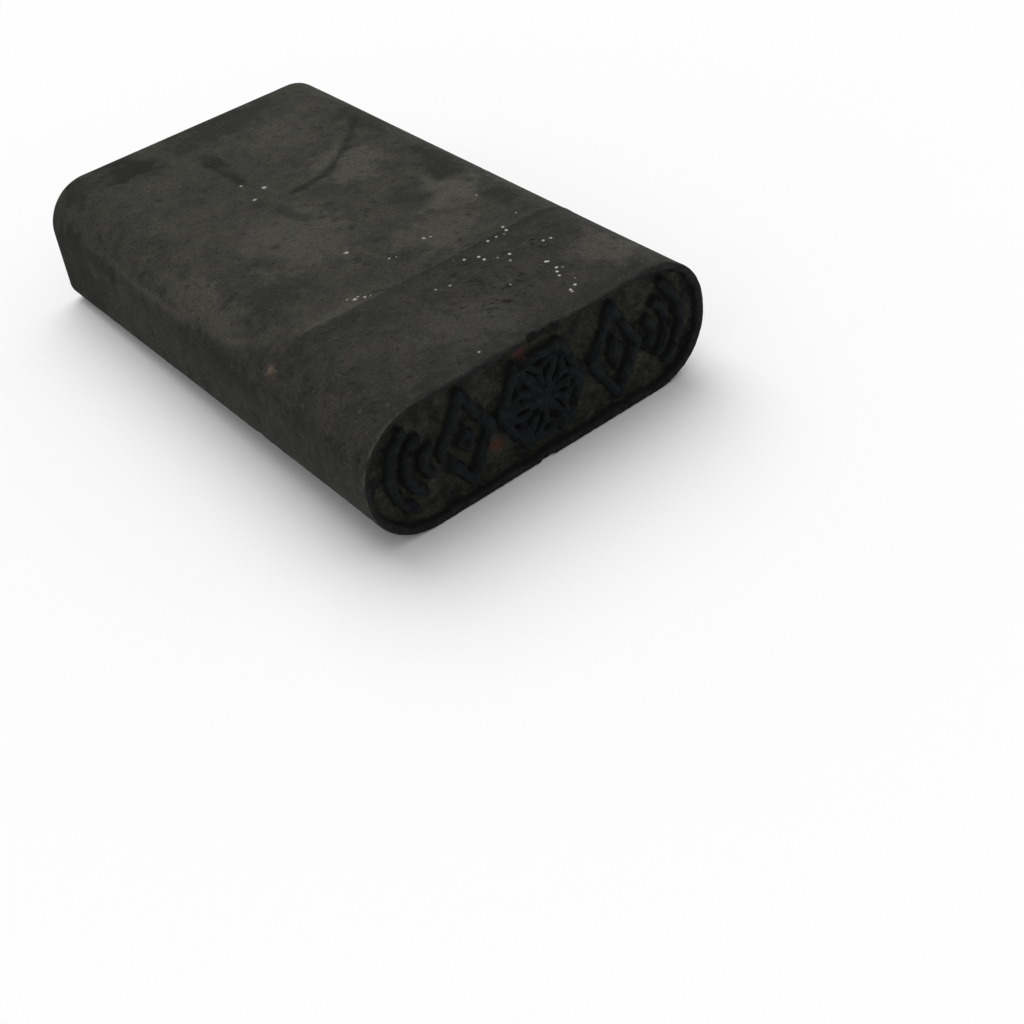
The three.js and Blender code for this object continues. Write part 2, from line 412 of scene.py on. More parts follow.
def to_star(points):
    """Distance to the hemp-leaf star: six triangles about the centre, each with three veins from its
    middle."""
    angles = np.arange(STAR_POINTS + 1) * 2 * math.pi / STAR_POINTS
    tips = FACE_CENTRE + STAR_RADIUS * np.stack([np.cos(angles), np.sin(angles)], axis=-1)
    found = []
    for tip, next_tip in zip(tips[:-1], tips[1:]):
        middle = (FACE_CENTRE + tip + next_tip) / 3
        found += [to_stroke(points, start, tip, STAR_STROKE) for start in (FACE_CENTRE, next_tip)]
        found += [to_stroke(points, middle, end, LEAF_STROKE) for end in (FACE_CENTRE, tip, next_tip)]
    return np.min(found, axis=0)


print("the middle of the star lies", round(-float(to_star(FACE_CENTRE)), 2), "mm inside its strokes")

# %% [markdown]
# ## Lozenges and ripples
# A lozenge with a solid seed stands on each side of the star, and three ripples fill each round end. Left
# and right are the same, so the distance is worked out with one side folded onto the other.

# %% Lozenges
RIM_WIDTH = 1.6
LOZENGE_WIDTH = 13.0
LOZENGE_STROKE = 2.0
LOZENGE_STAR_GAP = 0.65
LOZENGE_RIM_GAP = 2.4
SEED_WIDTH = 4.0
SEED_HEIGHT = 7.0
RIPPLE_COUNT = 3
RIPPLE_FIRST_RADIUS = 4.0
RIPPLE_SPACING = 4.2
RIPPLE_STROKE = 1.8
RIPPLE_RIM_GAP = 4.1
RIPPLE_HALF_ANGLE = math.radians(52)


def to_lozenges(points):
    """Distance to the two outlined lozenges and the solid seed in each: to one stroke and one slanted edge,
    with left and right and the quarters of a lozenge folded together."""
    offset = STAR_RADIUS + STAR_STROKE / 2 + LOZENGE_STAR_GAP + (LOZENGE_STROKE + LOZENGE_WIDTH) / 2
    height = THICKNESS - 2 * (RIM_WIDTH + LOZENGE_RIM_GAP) - LOZENGE_STROKE
    x = np.abs(np.abs(points[..., 0]) - offset)
    z = np.abs(points[..., 1] - FACE_CENTRE[1])
    side, tip = np.array([LOZENGE_WIDTH / 2, 0]), np.array([0, height / 2])
    outline = to_stroke(np.stack([x, z], axis=-1), side, tip, LOZENGE_STROKE)
    slope = math.hypot(SEED_WIDTH, SEED_HEIGHT)
    seed = (x * SEED_HEIGHT + z * SEED_WIDTH - SEED_WIDTH * SEED_HEIGHT / 2) / slope
    return np.minimum(outline, seed)


def to_ripples(points):
    """Distance to the arcs in the two round ends: the radius less the arc's own, inside the half angle, and
    the distance to the arc's end point outside it."""
    reach = RIPPLE_FIRST_RADIUS + (RIPPLE_COUNT - 1) * RIPPLE_SPACING + RIPPLE_STROKE / 2
    offset = FACE_WIDTH / 2 - RIM_WIDTH - RIPPLE_RIM_GAP - reach
    x = np.abs(points[..., 0]) - offset
    z = np.abs(points[..., 1] - FACE_CENTRE[1])
    inside = np.arctan2(z, x) < RIPPLE_HALF_ANGLE
    found = []
    for radius in RIPPLE_FIRST_RADIUS + RIPPLE_SPACING * np.arange(RIPPLE_COUNT):
        end = radius * np.array([math.cos(RIPPLE_HALF_ANGLE), math.sin(RIPPLE_HALF_ANGLE)])
        to_end = np.hypot(x - end[0], z - end[1])
        found.append(np.where(inside, np.abs(np.hypot(x, z) - radius), to_end) - RIPPLE_STROKE / 2)
    return np.min(found, axis=0)


print("the lozenges begin", round(float(to_lozenges(FACE_CENTRE)), 1), "mm from the middle of the face")

# %% [markdown]
# ## The depth of the carving
# A knife leaves walls that lean outwards and a ground scored by the gouge, and use wears the upper edges
# round and breaks the rim in places. All of that is added to the depth here, in millimetres behind the
# front plane.

# %% Carving
RELIEF_DEPTH = 2.6
WALL_RUN = 0.8
EDGE_WEAR = 0.4
EDGE_WEAR_RUN = 0.7
KNIFE_WANDER = 0.4
KNIFE_WANDER_CELL = 1.7
CHIP_DEPTH = 1.2
CHIP_CELL = 2.6
CHIP_PEAKS = (0.5, 0.9)
GOUGE_DEPTH = 0.6
GOUGE_CELL = np.array([2.2, 4.5, 1.0])
INK_CRUST = 0.14
INK_CRUST_CELL = 0.9
# Breaks in the rim: left end and right end, side (1 above, -1 below), share of the relief's depth
RIM_BREAKS = [(-3.0, 6.0, 1, 0.4), (-3.2, -0.2, 1, 0.8), (-3.7, -0.3, -1, 0.3)]
BREAK_RAGGED = 1.8
BREAK_RAGGED_CELL = 1.4
BREAK_EDGE = 2.2
SPLINTERS = 0.3


def on_plane(points):
    """Face points with a third coordinate of 0, for the noise."""
    return np.concatenate([points, np.zeros((*points.shape[:-1], 1))], axis=-1)


def rim_break(points, left, right, side, share):
    """Depth share of a broken stretch of the rim, 0 outside it: the distance to its nearer end, made ragged
    by noise, turned into a step, with splinters, on the upper (1) or the lower (-1) long side."""
    ragged = BREAK_RAGGED * soft_noise(on_plane(points), BREAK_RAGGED_CELL, seed=21)
    within = np.minimum(points[..., 0] - left, right - points[..., 0]) + ragged
    splinters = 1 - SPLINTERS + SPLINTERS * soft_noise(on_plane(points), BREAK_RAGGED_CELL / 2, seed=24)
    on_side = side * (points[..., 1] - FACE_CENTRE[1]) > 0
    return share * splinters * on_side * soft_step(-BREAK_EDGE / 2, BREAK_EDGE / 2, within)


def carved_depth(points, from_edge):
    """Depth behind the front plane: zero on the rim and the marks, rising over the wall to the ground. The
    knife wanders a little, the gouge scores the ground, and the marks have a crust, worn edges and a few
    chips. The rim lies lower where it is broken."""
    plane = on_plane(points)
    marks = np.minimum.reduce([to_star(points), to_lozenges(points), to_ripples(points)])
    wander = KNIFE_WANDER * soft_noise(plane, KNIFE_WANDER_CELL, seed=25)
    nearest = np.minimum(marks, from_edge - RIM_WIDTH) + wander
    ground = soft_step(0, WALL_RUN, nearest)
    chips = CHIP_DEPTH * soft_step(*CHIP_PEAKS, soft_noise(plane, CHIP_CELL, seed=26))
    gouge = GOUGE_DEPTH * (soft_noise(plane, GOUGE_CELL, seed=22) - 1) / 2
    crust = INK_CRUST * (1 + soft_noise(plane, INK_CRUST_CELL, seed=23)) / 2
    worn = EDGE_WEAR * soft_step(-EDGE_WEAR_RUN, 0, nearest) + chips * (from_edge > RIM_WIDTH)
    broken = np.max([rim_break(points, *place) for place in RIM_BREAKS], axis=0)
    near_rim = 1 - soft_step(RIM_WIDTH, RIM_WIDTH + 2 * WALL_RUN, from_edge)
    broken_depth = RELIEF_DEPTH * broken * near_rim
    return np.maximum(ground * (RELIEF_DEPTH + gouge) + (1 - ground) * worn, broken_depth) + crust


middle_depth = carved_depth(FACE_CENTRE[None], np.array([THICKNESS / 2]))
print("the middle of the star lies", round(middle_depth.item(), 2), "mm behind the front plane")

# %% [markdown]
# ## The die block
# The die is the front of the same skin. Its face is made of rings too, each drawn in a little from the one
# before, until the last one closes on the middle line. Pushing each point back by the depth of the carving
# gives the relief, and the rim, the walls and the sides stay one closed surface.

# %% Die
DIE_COLUMNS = loop_columns(arc=90, side=6, long=250)
DIE_ROWS = 34
FACE_RINGS = 62
RIM_ROUND = 0.35
ROW_CROWDING = 1.35
CLEAR_OF_RIM = 3.0


def die_grid():
    """Rings of the die from the middle line of its face out to the rim, and then back along the sides,
    where they crowd towards the rim. On the face the inset is a point's distance from the edge, and the
    radius shrinks with it down to nothing."""
    inset = np.linspace(THICKNESS / 2, 0, FACE_RINGS + 1)[:-1, None]
    radius = np.maximum(FACE_RADIUS - inset, 0)
    face_x, face_z = section(DIE_COLUMNS, FACE_WIDTH - 2 * inset, inset, THICKNESS - inset, [radius] * 4)
    face_depth = carved_depth(np.stack([face_x, face_z], axis=-1), np.broadcast_to(inset, face_x.shape))
    edge_x, edge_z = block_section(DIE_COLUMNS, 0.0, 0.0)
    edge_depth = carved_depth(np.stack([edge_x, edge_z], axis=-1), np.zeros(edge_x.shape)) + RIM_ROUND
    backward = np.linspace(0, 1, DIE_ROWS)[:, None] ** ROW_CROWDING
    back = edge_depth + (DIE_LENGTH - edge_depth) * backward
    side_x, side_z = block_section(DIE_COLUMNS, back, np.where(backward == 1, EASED_EDGE, 0.0))
    return np.stack([face_x, face_depth, face_z], axis=-1), np.stack([side_x, back, side_z], axis=-1)


die_face, die_sides = die_grid()
behind_rim = die_sides[..., 1]
clear_of_ends = soft_step(0, CLEAR_OF_JOINT, DIE_LENGTH - behind_rim) * soft_step(0, CLEAR_OF_RIM, behind_rim)
die_rings = np.concatenate([die_face, uneven(die_sides, clear_of_ends)])
die_rings[..., 1] += FACE_Y
rows, columns = die_rings.shape[:2]
rear_ring = np.arange((rows - 1) * columns, rows * columns)
die_faces = grid_faces(rows, columns).tolist() + [rear_ring[::-1].tolist()]
die = new_piece("die_skin", die_rings, die_faces)
print("die:", rows, "rings of", columns, "points")

# %% [markdown]
# ## Holes for the pegs
# Two hidden pegs hold the die to the handle, in blind holes that are drilled partly into each block. The
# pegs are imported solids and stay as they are. The holes are cut into both skins with a boolean, which suits
# a drilled hole better than bending the grid around it.

# %% Peg holes
PEGS = ("peg_left", "peg_right")
HOLE_CLEARANCE = 0.3
HOLE_CHAMFER = 1.0
HOLE_SIDES = 48


def peg_hole(node):
    """Rings of the hole around a peg: a chamfered cylinder along Y, wider and longer than the peg by a
    clearance."""
    low, high = (np.array(corner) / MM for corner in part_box(node))
    middle = (low + high) / 2
    radius = (high[0] - low[0]) / 2 + HOLE_CLEARANCE
    front, rear = low[1] - HOLE_CLEARANCE, high[1] + HOLE_CLEARANCE
    reach = np.array([0, radius - HOLE_CHAMFER, radius, radius, radius - HOLE_CHAMFER, 0])[:, None]
    along = np.array([front, front, front + HOLE_CHAMFER, rear - HOLE_CHAMFER, rear, rear])[:, None]
    angle = np.arange(HOLE_SIDES) * 2 * math.pi / HOLE_SIDES
    x, z = middle[0] + reach * np.cos(angle), middle[2] + reach * np.sin(angle)
    return np.stack([x, np.broadcast_to(along, x.shape), z], axis=-1)


def cut(piece, cutter):
    """The piece's mesh with the cutter's shape taken out of it."""
    modifier = piece.modifiers.new("peg_hole", "BOOLEAN")
    modifier.operation = "DIFFERENCE"
    modifier.solver = "EXACT"
    modifier.object = cutter
    shown = piece.evaluated_get(bpy.context.evaluated_depsgraph_get())
    piece.data = bpy.data.meshes.new_from_object(shown)
    piece.modifiers.clear()


for node in PEGS:
    hole_rings = peg_hole(node)
    drill = new_piece("drill", hole_rings, grid_faces(*hole_rings.shape[:2]).tolist())
    cut(handle, drill)
    cut(die, drill)
    bpy.data.objects.remove(drill)
print("faces with holes:", len(handle.data.polygons), "on the handle,", len(die.data.polygons), "on the die")

# %% [markdown]
# ## Where ink and hands have been
# Ink has smudged the wood, hands have rubbed it, and dust has dried on it. Such marks follow no pattern, so
# they are worked out for each point and stored on the mesh as attributes, which the materials then read.
# Places are given as if the top and the sides were unrolled: across, and back from the face.

# %% Places
UNDERSIDE_EDGE = (0.5, 4.0)


def place_in_mm(piece):
    """Points of a piece in mm, with y counted from the front plane backwards."""
    points = np.empty(len(piece.data.vertices) * 3)
    piece.data.vertices.foreach_get("co", points)
    points = points.reshape(-1, 3) / MM
    points[:, 1] -= FACE_Y
    return points


def across(points):
    """Distance from the middle of the top to a point, sideways and then down, negative on the left."""
    x, z = points[:, 0], points[:, 2]
    return np.sign(x) * (np.abs(x) + THICKNESS - z)


def upper_side(points):
    """1 above the underside's edge, 0 on the underside."""
    return soft_step(*UNDERSIDE_EDGE, points[:, 2])


def store(piece, name, values):
    """A number for each point of a piece, under a name that a material can read."""
    attribute = piece.data.attributes.new(name, "FLOAT", "POINT")
    attribute.data.foreach_set("value", values.astype(np.float32))


def noises(points, layers):
    """Sum of soft noises, each with its height, its cell and its seed."""
    return sum(height * soft_noise(points, cell, seed) for height, cell, seed in layers)


skins = [(piece, place_in_mm(piece)) for piece in (handle, die)]
for piece, points in skins:
    print(piece.name, "reaches", round(float(across(points).max()), 1), "mm across on each side")

# %% [markdown]
# ## Hand wear
# The hand has rubbed the top of the handle paler, up to the joint and over the left shoulder, with a round
# front corner. A brush could paint that, but a formula with a little noise gives a border that is crisp and
# still uneven. Along the left border a pale line has dried.

# %% Hand wear
WEAR_REACH = 51.0
WEAR_ROUND_REACH = 22.0
WEAR_ROUND_BACK = 38.0
WEAR_BORDER = 0.03
WEAR_WOBBLE = [(1.2, 17, 31), (0.3, 3, 30)]
RIGHT_SHARPNESS = 3
RIGHT_MARGIN = 0.4
TIDE_WIDTH = 0.07
TIDE_LEFT_OF = -5.0
TIDE_TO = 128.0
TIDE_FADE = 12.0
TIDE_GAPS = (-0.6, 0.3)


def inside_wear(points):
    """How far a point lies inside the rubbed area, as a share of its round corner: there, one less the
    distance from the corner's centre, and on the right the nearer of two straight borders."""
    behind = (points[:, 1] - DIE_LENGTH) / WEAR_ROUND_BACK
    wobble = noises(points, WEAR_WOBBLE)
    within = (WEAR_REACH - np.abs(across(points)) + wobble) / WEAR_ROUND_REACH
    corner = 1 - np.hypot(np.maximum(1 - behind, 0), np.maximum(1 - within, 0))
    right = np.minimum(RIGHT_SHARPNESS * behind, within + RIGHT_MARGIN)
    return np.where(points[:, 0] < 0, corner, right)


def tide_line(points):
    """The thin pale line that dried along the left border of the rubbed area: a bell curve across it."""
    on_left = 1 - soft_step(TIDE_LEFT_OF - TIDE_FADE, TIDE_LEFT_OF, points[:, 0])
    in_front = 1 - soft_step(TIDE_TO - TIDE_FADE, TIDE_TO, points[:, 1])
    broken = soft_step(*TIDE_GAPS, soft_noise(points, cell=7, seed=35))
    line = np.exp(-((inside_wear(points) - WEAR_BORDER) / TIDE_WIDTH) ** 2)
    return line * (on_left * in_front) * broken * upper_side(points)


for piece, points in skins:
    rubbed = soft_step(0, WEAR_BORDER, inside_wear(points)) * upper_side(points)
    store(piece, "hand_wear", rubbed)
    print(piece.name, "is rubbed over", round(float(rubbed.mean()), 2), "of its points")

# %% [markdown]
# ## Smudges and pale patches
# Ink has run in thin lines and left blots, and dry dust lies in pale patches. Each is an oval or a line at
# its own place, with an edge that two sizes of noise make ragged, because one size alone looks wavy.

# %% Smudges
# Runs of ink on the top: half width, share, and x and back of the points that it follows
STREAKS = [
    (1.3, 0.95, np.array([(34, 115), (22, 103), (11, 95), (0, 94)])),
    (2.5, 0.9, np.array([(-4.5, 129), (-5, 119), (-5.5, 109)])),
    (2.2, 0.6, np.array([(-8, 95), (-6, 86), (-5, 80)])),
]
STREAK_RAGGED = [(0.9, 3, 32), (0.5, 1.2, 36)]
STREAK_FADE = 1.4
STREAK_GAPS = (-1.2, 0.1)
STREAK_HEIGHTS = (26, 30)
# Ovals on the wood: middle across and back, half sizes, and share
INK_BLOTS = [
    (36, 112, 7, 12, 0.6), (33, 77, 6, 12, 0.7), (18, 68, 5, 6, 0.45), (34, 53, 5, 8, 0.6),
    (-21, 140, 8, 8, 0.95), (8, 142, 20, 8, 0.6), (-4.6, 124, 2.5, 5, 0.9), (-36, 144, 6, 6, 0.6),
    (-27, 57, 9, 7, 0.5), (-25, 36, 10, 3, 0.6), (-53, 121, 4, 12, 0.6), (-62, 138, 14, 18, 0.85),
    (-55, 62, 6, 18, 0.4), (1, 47, 6, 4, 0.4), (30, 30, 8, 5, 0.25), (24, 1, 18, 4, 0.35),
]
PALE_PATCHES = [
    (18, 95, 9, 10, 0.7), (26, 62, 10, 9, 0.95), (-11, 74, 13, 17, 0.6), (-43, 74, 6, 20, 0.6),
    (12, 50, 12, 8, 0.6), (16, 122, 10, 10, 0.35), (-6, 14, 12, 9, 0.35), (33, 14, 8, 10, 0.75),
]
OVAL_EDGE = (0.55, 1.25)
OVAL_RAGGED = 0.4
OVAL_CELLS = (6, 2.1)
# Pocks: small dark spots, where two sizes of noise peak
POCK_NOISE = [(1, 3.4, 44), (0.45, 1.3, 46)]
POCK_PEAKS = (0.55, 0.95)


def ovals(points, places, seed):
    """The strongest of several ragged ovals at each point: an oval's share inside it, falling to 0 across
    its edge, with a radius that noise makes uneven."""
    sideways, back = across(points), points[:, 1]
    ragged = noises(points, [(OVAL_RAGGED, cell, seed + turn) for turn, cell in enumerate(OVAL_CELLS)])
    found = []
    for middle, middle_back, half_width, half_length, share in places:
        radius = np.hypot((sideways - middle) / half_width, (back - middle_back) / half_length)
        found.append(share * (1 - soft_step(*OVAL_EDGE, radius + ragged)))
    return np.max(found, axis=0) * upper_side(points)


def to_path(points, path):
    """Distance, seen from above, to the nearest stretch of a path."""
    return np.min([to_stroke(points[:, :2], a, b, 0) for a, b in zip(path[:-1], path[1:])], axis=0)


def streaks(points):
    """Share of ink on the thin lines where it has run on the top: falling off across a line, with a ragged
    edge and paler stretches."""
    ragged = noises(points, STREAK_RAGGED)
    found = []
    for half_width, share, path in STREAKS:
        away = to_path(points, path)
        found.append(share * (1 - soft_step(0, STREAK_FADE * half_width, away + ragged)))
    patchy = soft_step(*STREAK_GAPS, soft_noise(points, cell=4, seed=45))
    return np.max(found, axis=0) * patchy * soft_step(*STREAK_HEIGHTS, points[:, 2])


print(len(STREAKS), "runs of ink,", len(INK_BLOTS), "blots and", len(PALE_PATCHES), "pale patches")

# %% [markdown]
# ## Edges, flecks and cracks
# Ink has gathered in a thin band along the front edge of the die, apart from its left end, where it is rubbed
# off. A wider band of painted shade darkens the top along the same edge, and another in front of the joint.
# These bands join the smudges and the patches in two attributes, in which the strongest mark counts, so that
# overlapping marks don't add up. Flecks and cracks get only their places here: a chance and a share.

# %% Edges
RIM_BAND = 0.8
# Reach in mm of the painted shade along the front edge and in front of the joint
FRONT_SHADE = 7.0
JOINT_SHADE = 3.5
JOINT_HEIGHTS = (28, 31.5)
EDGE_GAPS = (-0.7, 0.2)
# Where a band along the front edge begins and where it is full, in x
RUBBED_RIM_X = (-26, -38)
INKED_RIM_X = (-24, -14)
FRONT_SHADE_X = (-40, -25)
TIDE_SHARE = 0.7
RUBBED_RIM_SHARE = 0.9
INKED_RIM_SHARE = 0.8
POCK_SHARE = 0.6
SHADE_SHARE = 0.5
FLECK_TRAILS = [
    np.array([(24, 27), (19, 20), (18, 12), (14, 4)]),
    np.array([(9, 34), (14, 27)]),
    np.array([(21, 38), (15, 37)]),
]
TRAIL_WIDTH = 2.4
TRAIL_HEIGHTS = (24, 30)
CRACKED_PLACES = [(22, 30, 8, 6, 1.0), (3, 20, 8, 9, 1.0), (5, 33, 6, 6, 0.8)]


def edge_band(points, width, from_x, to_x):
    """1 along the front edge, falling off over a width, broken by noise, and rising from 0 to 1 between two
    places in x."""
    at_edge = 1 - soft_step(width / 3, width, points[:, 1])
    broken = soft_step(*EDGE_GAPS, soft_noise(points, cell=3, seed=42))
    return at_edge * soft_step(from_x, to_x, points[:, 0]) * broken


def joint_shade(points):
    """Painted shade on the top in front of the joint: rising towards it, and none behind it."""
    rising = soft_step(DIE_LENGTH - JOINT_SHADE, DIE_LENGTH, points[:, 1])
    return rising * (points[:, 1] < DIE_LENGTH + SEAM / 2) * soft_step(*JOINT_HEIGHTS, points[:, 2])


def flecked(points):
    """Chance of a white fleck on the top of the die: a bell curve across three trails."""
    away = np.min([to_path(points, path) for path in FLECK_TRAILS], axis=0)
    return np.exp(-(away / TRAIL_WIDTH) ** 2) * soft_step(*TRAIL_HEIGHTS, points[:, 2])


for piece, points in skins:
    pale = [
        ovals(points, PALE_PATCHES, seed=37),
        TIDE_SHARE * tide_line(points),
        RUBBED_RIM_SHARE * edge_band(points, RIM_BAND, *RUBBED_RIM_X),
    ]
    dark = [
        ovals(points, INK_BLOTS, seed=33),
        streaks(points),
        POCK_SHARE * soft_step(*POCK_PEAKS, noises(points, POCK_NOISE)),
        INKED_RIM_SHARE * edge_band(points, RIM_BAND, *INKED_RIM_X),
        # Painted shade on the top along the front edge and in front of the joint, stored with the ink smudges
        SHADE_SHARE * edge_band(points, FRONT_SHADE, *FRONT_SHADE_X) * upper_side(points),
        SHADE_SHARE * joint_shade(points),
    ]
    store(piece, "ink_smudge_and_painted_shade", np.max(dark, axis=0))
    store(piece, "pale_patch", np.max(pale, axis=0))
    store(piece, "flecked", flecked(points))
    store(piece, "cracked", ovals(points, CRACKED_PLACES, seed=39))
    print(piece.name, "is smudged by", round(float(np.max(dark, axis=0).mean()), 2), "on average")

# %% [markdown]
# ## Textures of the wood
# The eye sees mottles a few millimetres across, specks, a fine grit, furrows along the grain and small
# slanted nicks. Each is the same noise with cells of another size or length, because several together look
# less like a computer's noise than one.

# %% Textures
# Cells of a texture: width and length in mm, and turn about Z. Real grit and grain are finer, but cells
# under half a millimetre wouldn't show in the render.
MOTTLES = (6.0, 6.0, 0.0)
SPECKS = (2.0, 2.0, 0.0)
GRIT = (0.6, 0.6, 0.0)
GRAIN = (1.4, 18.0, 0.0)
NICKS = (0.8, 5.0, math.radians(45))
NOISE_DETAIL = 7
NOISE_ROUGHNESS = 0.74
NOISE_RANGE = (0.36, 0.64)
# Inputs by number. Map Range: 0 value, 1 and 2 the range it comes from, 3 and 4 the range it goes to.
# Colour mix: 0 share, 6 colour below, 7 colour above, and its colour comes out as number 2.
RGB = {"data_type": "RGBA", "out": 2}


def cell_place(tree, place, cells):
    """The place measured in cells: turned back by their turn, and divided by their width and length."""
    width, length, turn = cells
    links = {"Vector": place, "Rotation": (0, 0, turn), "Scale": (width * MM, length * MM, width * MM)}
    return add(tree, "Mapping", links, vector_type="TEXTURE")


def wood_textures(tree, place, kinds):
    """Textures from 0 to 1, one for each kind of cells: a noise whose middle values are spread out."""
    found = []
    for cells in kinds:
        vector = cell_place(tree, place, cells)
        links = {"Vector": vector, "Scale": 1, "Detail": NOISE_DETAIL, "Roughness": NOISE_ROUGHNESS}
        noise = add(tree, "TexNoise", links)
        found.append(add(tree, "MapRange", {0: noise, 1: NOISE_RANGE[0], 2: NOISE_RANGE[1]}))
    return found


print("cells of the mottles, specks and grit:", [cells[0] for cells in (MOTTLES, SPECKS, GRIT)], "mm")

# %% [markdown]
# ## Ink-blackened wood
# Fine-grained hardwood, planed and never varnished. Years of ink have left it near black, and where the
# hand rubs, the grey of the wood comes back. The colour is built in the order in which the wood got it: ink
# or wear, then dust, smudges with painted shade and bare spots from the attributes, then fine marks, and
# grit last.

# %% Inked wood
INK_DARK = "#262624"
INK_GREY = "#393835"
RUBBED_OLIVE = "#2a2a27"
RUBBED_GREY = "#3f3e38"
PALE_DUST = "#494842"
SMUDGE_AND_SHADE_BLACK = "#1e1f1c"
SPECK_BLACK = "#171817"
BARE_DUSTY_WOOD = "#685a52"
GRIT_CONTRAST = 0.3
# The smudge layer also paints the shade along the front edge and in front of the joint
STAINS = [("pale_patch", PALE_DUST), ("ink_smudge_and_painted_shade", SMUDGE_AND_SHADE_BLACK), ("bare_spot", BARE_DUSTY_WOOD)]
# Fine marks: tone, the values of a texture where they begin and where they are full, and their share there
SCUFFS = (PALE_DUST, 0.2, 0.0, 0.45)
PITS = (SPECK_BLACK, 0.75, 1.0, 0.65)
NICK_MARKS = (SPECK_BLACK, 0.88, 1.0, 0.75)


def marked(tree, colour, marks):
    """The colour with fine marks over it, each given by its texture and its row of values."""
    for texture, (tone, begin, full, most) in marks:
        share = add(tree, "MapRange", {0: texture, 1: begin, 2: full, 4: most})
        colour = add(tree, "Mix", {0: share, 6: colour, 7: linear(tone)}, **RGB)
    return colour


def gritty(tree, colour, grit):
    """The colour made darker and lighter by the grit: times one less, up to one plus, the contrast."""
    value = add(tree, "MapRange", {0: grit, 3: 1 - GRIT_CONTRAST, 4: 1 + GRIT_CONTRAST})
    return add(tree, "HueSaturation", {"Value": value, "Color": colour})


# Near black and dry: the eye sees soft grey clouds under a fine grit, and hardly any gloss
planed_wood, tree = new_material("ink_blackened_planed_hardwood")
place = add(tree, "TexCoord", out="Object")
mottles, specks, grit, grain, nicks = wood_textures(tree, place, (MOTTLES, SPECKS, GRIT, GRAIN, NICKS))
colour, rubbed = [
    add(tree, "Mix", {0: mottles, 6: linear(dark), 7: linear(light)}, **RGB)
    for dark, light in ((INK_DARK, INK_GREY), (RUBBED_OLIVE, RUBBED_GREY))
]
for name, tone in [("hand_wear", rubbed)] + [(stain, linear(tone)) for stain, tone in STAINS]:
    share = add(tree, "Attribute", out="Fac", attribute_name=name)
    colour = add(tree, "Mix", {0: share, 6: colour, 7: tone}, **RGB)
colour = marked(tree, colour, [(specks, SCUFFS), (specks, PITS), (nicks, NICK_MARKS)])
colour = gritty(tree, colour, grit)
print("inked wood has", len(tree.nodes), "nodes so far")

# %% [markdown]
# ## Flecks and cracks
# White flecks lie on the top, about a millimetre across, and some places have short thin cracks. Both are
# finer than the grid of the skin, so the material draws them. A fleck is the middle of a cell of a cell
# texture, or all that lies near a place. A crack is where a long-drawn noise crosses its middle value.

# %% Flecks and cracks
FLECK_WHITE = "#b9b8b1"
FLECK_SPACING = 2.0
FLECK_RADIUS = 0.48
FLECK_CORE = 0.4
# Stray flecks on the top: x, back and radius
STRAY_FLECKS = [
    (-6.5, 107.5, 0.5), (-3, 102, 0.8), (-8, 98.5, 0.6), (-7.5, 59, 0.7), (-17.5, 41, 0.6),
    (-18.6, 42.2, 0.3), (-16.4, 41.4, 0.35), (-15.5, 40, 0.45), (-14.4, 39.4, 0.25), (8, 50, 0.55),
    (9.4, 49.2, 0.35), (-2.5, 49, 0.4), (-1.1, 48.2, 0.3), (28, 56, 0.35), (28.7, 42, 0.3),
    (-0.5, 28.8, 0.4), (-3.6, 30, 0.35), (8.3, 18.8, 0.35), (-12, 4, 0.4),
]
STRAY_UNEVEN = 0.5
STRAY_CORE = 0.3
STRAY_SHARE = 0.7
FLATTENED = (1, 1, 0.2)
CRACK_BLACK = "#111110"
CRACKS = (3.0, 9.0, math.radians(45))
CRACK_DETAIL = 3
CRACK_MIDDLE = 0.5
CRACK_EDGE = 0.022
CRACK_CORE = 0.3
CRACK_OPEN = (0.3, 0.6)

# Trails: a cell whose random number is under the chance shows its middle
distance = add(tree, "TexVoronoi", {"Vector": place, "Scale": 1 / (FLECK_SPACING * MM)})
cell_radius = FLECK_RADIUS / FLECK_SPACING
near = add(tree, "MapRange", {0: distance, 1: cell_radius, 2: FLECK_CORE * cell_radius})
number = add(tree, "SeparateColor", {0: distance.node.outputs["Color"]})
chance = add(tree, "Attribute", out="Fac", attribute_name="flecked")
picked = add(tree, "Math", {0: number, 1: chance}, operation="LESS_THAN")
trails = add(tree, "Math", {0: near, 1: picked}, operation="MULTIPLY")
# Stray flecks: full well inside a radius that the grit makes uneven. The height counts a fifth, so a fleck
# stays whole in a hollow and doesn't come out on the underside.
flat = add(tree, "VectorMath", {0: place, 1: FLATTENED}, operation="MULTIPLY")
strays = 0.0
for x, back, radius in STRAY_FLECKS:
    size = radius * MM
    spot = np.array([x, back + FACE_Y, THICKNESS]) * FLATTENED * MM
    away = add(tree, "VectorMath", {0: flat, 1: spot.tolist()}, out="Value", operation="DISTANCE")
    border = add(tree, "MapRange", {0: grit, 3: (1 - STRAY_UNEVEN) * size, 4: (1 + STRAY_UNEVEN) * size})
    inside = add(tree, "MapRange", {0: away, 1: border, 2: STRAY_CORE * size, 4: STRAY_SHARE})
    strays = add(tree, "Math", {0: inside, 1: strays}, operation="MAXIMUM")
